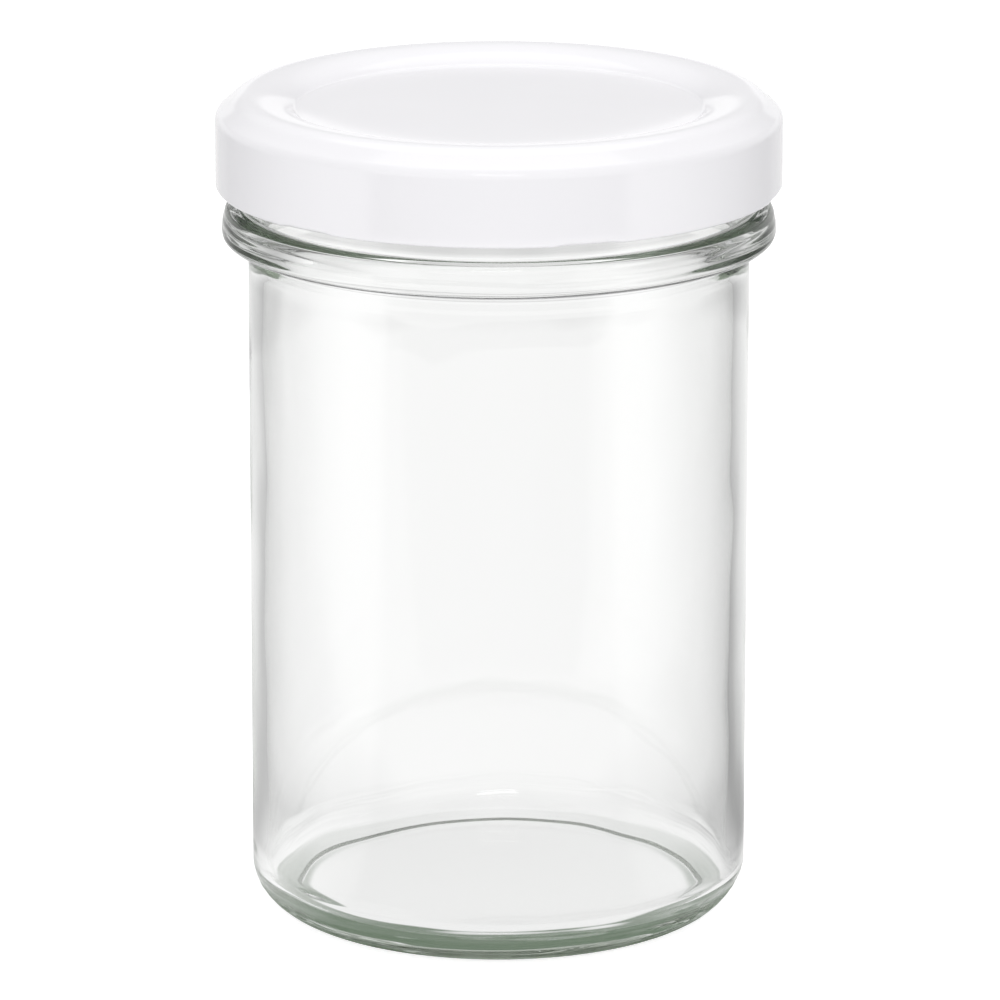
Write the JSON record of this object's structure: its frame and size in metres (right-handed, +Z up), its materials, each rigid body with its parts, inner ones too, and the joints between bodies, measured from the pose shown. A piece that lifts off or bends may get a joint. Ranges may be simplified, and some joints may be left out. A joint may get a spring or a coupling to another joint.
{
  "type": "preserving jar",
  "caption": "Straight-sided clear glass preserving jar with a rolled bead under a wide mouth and a plain white twist-off cap with a sunk panel.",
  "frame": {"origin": "centre of the bearing ring that the jar stands on", "axes": "+Z up along the axis of the jar, X and Y alike"},
  "size_m": [0.086, 0.086, 0.1272],
  "materials": {
    "clear_glass": "clear soda-lime glass, fire polished, faint green in the thick parts",
    "white_enamelled_tinplate": "white gloss enamel",
    "sealing_compound": "soft satin compound"
  },
  "bodies": {
    "jar": {"glass_jar": "clear_glass"},
    "seal": {"seal_ring": "sealing_compound"},
    "cap": {"lid_shell": "white_enamelled_tinplate"}
  },
  "joints": [
    {"name": "cap_lift", "type": "slide", "parent": "jar", "child": "seal", "axis": [0, 0, 1], "range_m": [0, 0.06]},
    {"name": "cap_turn", "type": "hinge", "parent": "seal", "child": "cap", "pos_m": [0, 0, 0.11285], "axis": [0, 0, 1], "range_deg": [0, 42]}
  ]
}
